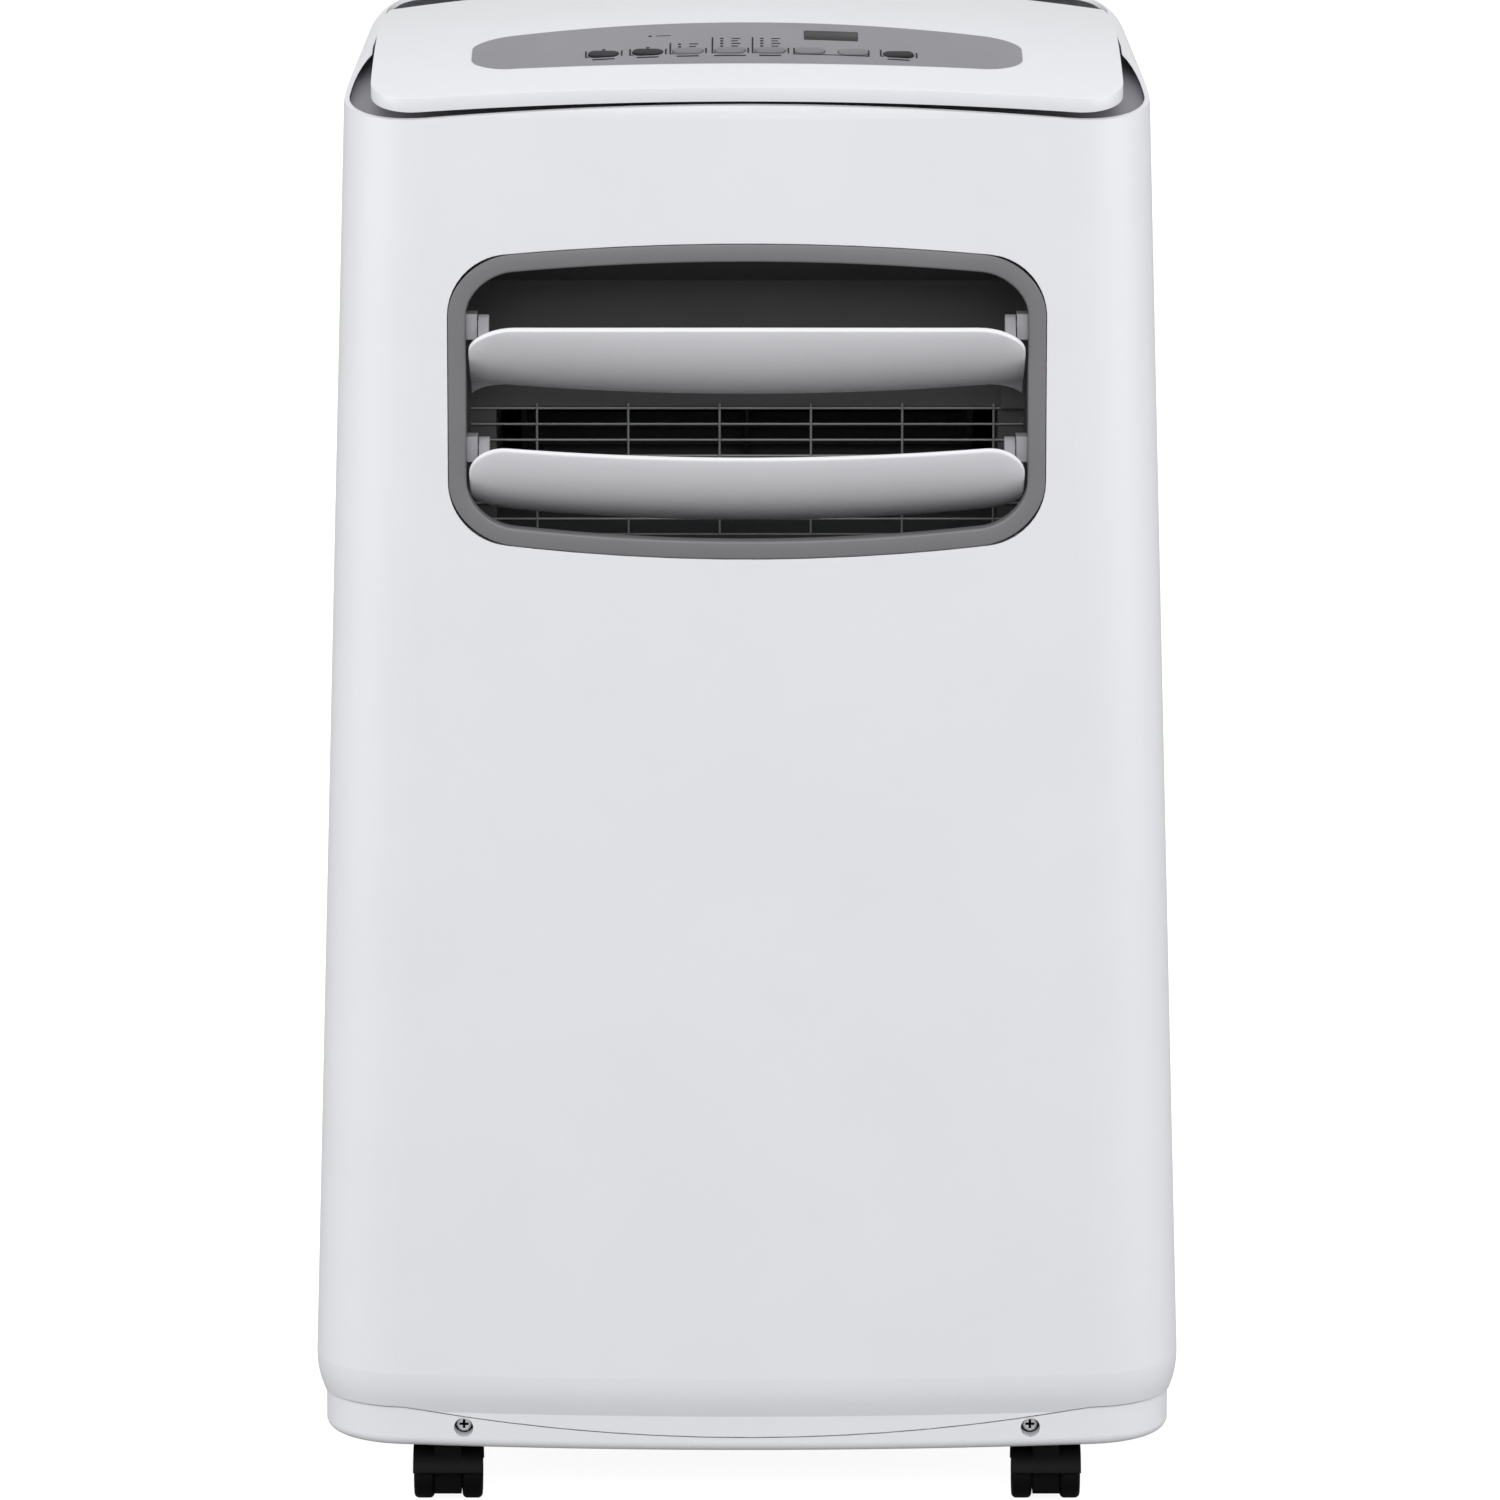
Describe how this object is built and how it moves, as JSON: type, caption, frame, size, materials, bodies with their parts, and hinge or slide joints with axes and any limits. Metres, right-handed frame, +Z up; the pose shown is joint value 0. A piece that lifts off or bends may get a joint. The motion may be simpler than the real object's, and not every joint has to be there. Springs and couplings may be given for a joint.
{
  "type": "portable air conditioner",
  "caption": "Free-standing portable air conditioner: tapered casing on casters, crowned lid with keys, swinging louvers in a bezelled outlet, rear intakes and hose collar.",
  "frame": {"origin": "on the floor under the middle of the whole object, at the lowest point of the caster wheels", "axes": "+Z up, front with the air outlet towards -Y, +X to the right seen from the front"},
  "size_m": [0.4486, 0.4, 0.7665],
  "materials": {
    "white_casing": "satin moulded plastic with a faint grain",
    "white_lid": "smooth satin plastic",
    "white_louver": "smooth satin plastic",
    "grey_panel": "matt grey overlay",
    "grey_tray": "fine-grained grey plastic",
    "key_grey": "matt dark grey",
    "display_black": "smoked window",
    "bezel_grey": "satin grey plastic",
    "duct_grey": "matt dark grey plastic",
    "black_plastic": "matt black nylon",
    "wheel_black": "hard rubber tread",
    "bearing_white": "natural acetal",
    "grille_white": "satin plastic",
    "filter_mesh": "woven nylon mesh",
    "zinc_steel": "zinc plated",
    "motor_steel": "grey enamel",
    "compressor_black": "black enamel",
    "fin_aluminium": "thin bare fins",
    "copper": "bare copper",
    "board_green": "solder mask",
    "inner_plastic": "black polypropylene",
    "rubber": "soft rubber"
  },
  "bodies": {
    "root": {"front_shell": "white_casing", "rear_panel": "white_casing", "base_tray": "white_casing", "casing_screws": "zinc_steel", "top_tray": "grey_tray", "top_lid": "white_lid", "control_overlay": "grey_panel", "display_window": "display_black", "control_board": "board_green", "tact_switches": "black_plastic", "vent_bezel": "bezel_grey", "outlet_duct": "duct_grey", "outlet_guard": "duct_grey", "louver_bearings": "bearing_white", "louver_motor": "bearing_white", "exhaust_collar": "grille_white", "cord_gland": "rubber", "handle_cup_left": "grey_tray", "handle_cup_right": "grey_tray", "condenser_coil": "fin_aluminium", "evaporator_coil": "fin_aluminium", "compressor_feet": "rubber", "compressor": "compressor_black", "condenser_scroll": "inner_plastic", "condenser_motor": "motor_steel", "slinger_motor": "motor_steel", "middle_deck": "inner_plastic", "evaporator_scroll": "inner_plastic", "evaporator_motor": "motor_steel", "electrics_box": "zinc_steel", "refrigerant_pipes": "copper"},
    "upper_louver": {"upper_louver": "white_louver"},
    "lower_louver": {"lower_louver": "white_louver"},
    "louver_link": {"louver_link": "inner_plastic"},
    "sleep_key": {"sleep_key": "key_grey"},
    "fan_key": {"fan_key": "key_grey"},
    "mode_key": {"mode_key": "key_grey"},
    "swing_key": {"swing_key": "key_grey"},
    "timer_key": {"timer_key": "key_grey"},
    "minus_key": {"minus_key": "key_grey"},
    "plus_key": {"plus_key": "key_grey"},
    "power_key": {"power_key": "key_grey"},
    "evaporator_blower_wheel": {"evaporator_blower_wheel": "inner_plastic"},
    "condenser_blower_wheel": {"condenser_blower_wheel": "inner_plastic"},
    "slinger_wheel": {"slinger_wheel": "inner_plastic"},
    "upper_filter": {"upper_intake_grille": "grille_white", "upper_filter": "filter_mesh"},
    "upper_drain_plug": {"upper_drain_plug": "rubber"},
    "lower_filter": {"lower_intake_grille": "grille_white", "lower_filter": "filter_mesh"},
    "lower_drain_plug": {"lower_drain_plug": "rubber"},
    "caster_hood_front_left": {"caster_hood_front_left": "black_plastic"},
    "caster_wheels_front_left": {"caster_wheels_front_left": "wheel_black"},
    "caster_hood_front_right": {"caster_hood_front_right": "black_plastic"},
    "caster_wheels_front_right": {"caster_wheels_front_right": "wheel_black"},
    "caster_hood_rear_left": {"caster_hood_rear_left": "black_plastic"},
    "caster_wheels_rear_left": {"caster_wheels_rear_left": "wheel_black"},
    "caster_hood_rear_right": {"caster_hood_rear_right": "black_plastic"},
    "caster_wheels_rear_right": {"caster_wheels_rear_right": "wheel_black"}
  },
  "joints": [
    {"name": "upper_louver_swing", "type": "hinge", "parent": "root", "child": "upper_louver", "pos_m": [0, -0.16, 0.615], "axis": [1, 0, 0], "range_deg": [-54, 15]},
    {"name": "lower_louver_swing", "type": "hinge", "parent": "root", "child": "lower_louver", "pos_m": [0, -0.16, 0.5525], "axis": [1, 0, 0], "range_deg": [-54, 15]},
    {"name": "louver_link_swing", "type": "hinge", "parent": "upper_louver", "child": "louver_link", "pos_m": [0.1494, -0.14684, 0.61979], "axis": [1, 0, 0], "range_deg": [-15, 54]},
    {"name": "sleep_key_press", "type": "slide", "parent": "root", "child": "sleep_key", "axis": [0, 0.2334, -0.9724], "range_m": [0, 0.0008], "stiffness_N_per_m": 1200},
    {"name": "fan_key_press", "type": "slide", "parent": "root", "child": "fan_key", "axis": [0, 0.2334, -0.9724], "range_m": [0, 0.0008], "stiffness_N_per_m": 1200},
    {"name": "mode_key_press", "type": "slide", "parent": "root", "child": "mode_key", "axis": [0, 0.2334, -0.9724], "range_m": [0, 0.0008], "stiffness_N_per_m": 1200},
    {"name": "swing_key_press", "type": "slide", "parent": "root", "child": "swing_key", "axis": [0, 0.2334, -0.9724], "range_m": [0, 0.0008], "stiffness_N_per_m": 1200},
    {"name": "timer_key_press", "type": "slide", "parent": "root", "child": "timer_key", "axis": [0, 0.2334, -0.9724], "range_m": [0, 0.0008], "stiffness_N_per_m": 1200},
    {"name": "minus_key_press", "type": "slide", "parent": "root", "child": "minus_key", "axis": [0, 0.2334, -0.9724], "range_m": [0, 0.0008], "stiffness_N_per_m": 1200},
    {"name": "plus_key_press", "type": "slide", "parent": "root", "child": "plus_key", "axis": [0, 0.2334, -0.9724], "range_m": [0, 0.0008], "stiffness_N_per_m": 1200},
    {"name": "power_key_press", "type": "slide", "parent": "root", "child": "power_key", "axis": [0, 0.2334, -0.9724], "range_m": [0, 0.0008], "stiffness_N_per_m": 1200},
    {"name": "evaporator_blower_spin", "type": "hinge", "parent": "root", "child": "evaporator_blower_wheel", "pos_m": [0, 0.03, 0.5855], "axis": [1, 0, 0], "continuous": true},
    {"name": "condenser_blower_spin", "type": "hinge", "parent": "root", "child": "condenser_blower_wheel", "pos_m": [0, 0.095, 0.1268], "axis": [0, 1, 0], "continuous": true},
    {"name": "slinger_spin", "type": "hinge", "parent": "root", "child": "slinger_wheel", "pos_m": [-0.168, 0.11, 0.092], "axis": [0, 1, 0], "continuous": true},
    {"name": "upper_filter_draw", "type": "slide", "parent": "root", "child": "upper_filter", "axis": [0, 1, 0], "range_m": [0, 0.06]},
    {"name": "upper_drain_plug_draw", "type": "slide", "parent": "root", "child": "upper_drain_plug", "axis": [0, 1, 0], "range_m": [0, 0.025]},
    {"name": "lower_filter_draw", "type": "slide", "parent": "root", "child": "lower_filter", "axis": [0, 1, 0], "range_m": [0, 0.06]},
    {"name": "lower_drain_plug_draw", "type": "slide", "parent": "root", "child": "lower_drain_plug", "axis": [0, 1, 0], "range_m": [0, 0.025]},
    {"name": "caster_swivel_front_left", "type": "hinge", "parent": "root", "child": "caster_hood_front_left", "pos_m": [-0.155, -0.14, 0.03], "axis": [0, 0, 1], "continuous": true},
    {"name": "caster_roll_front_left", "type": "hinge", "parent": "caster_hood_front_left", "child": "caster_wheels_front_left", "pos_m": [-0.155, -0.157, 0.013], "axis": [1, 0, 0], "continuous": true},
    {"name": "caster_swivel_front_right", "type": "hinge", "parent": "root", "child": "caster_hood_front_right", "pos_m": [0.155, -0.14, 0.03], "axis": [0, 0, 1], "continuous": true},
    {"name": "caster_roll_front_right", "type": "hinge", "parent": "caster_hood_front_right", "child": "caster_wheels_front_right", "pos_m": [0.155, -0.157, 0.013], "axis": [1, 0, 0], "continuous": true},
    {"name": "caster_swivel_rear_left", "type": "hinge", "parent": "root", "child": "caster_hood_rear_left", "pos_m": [-0.155, 0.14, 0.03], "axis": [0, 0, 1], "continuous": true},
    {"name": "caster_roll_rear_left", "type": "hinge", "parent": "caster_hood_rear_left", "child": "caster_wheels_rear_left", "pos_m": [-0.155, 0.157, 0.013], "axis": [1, 0, 0], "continuous": true},
    {"name": "caster_swivel_rear_right", "type": "hinge", "parent": "root", "child": "caster_hood_rear_right", "pos_m": [0.155, 0.14, 0.03], "axis": [0, 0, 1], "continuous": true},
    {"name": "caster_roll_rear_right", "type": "hinge", "parent": "caster_hood_rear_right", "child": "caster_wheels_rear_right", "pos_m": [0.155, 0.157, 0.013], "axis": [1, 0, 0], "continuous": true}
  ],
  "couplings": [
    {"joint": "lower_louver_swing", "follows": "upper_louver_swing", "ratio": 1},
    {"joint": "louver_link_swing", "follows": "upper_louver_swing", "ratio": -1}
  ]
}
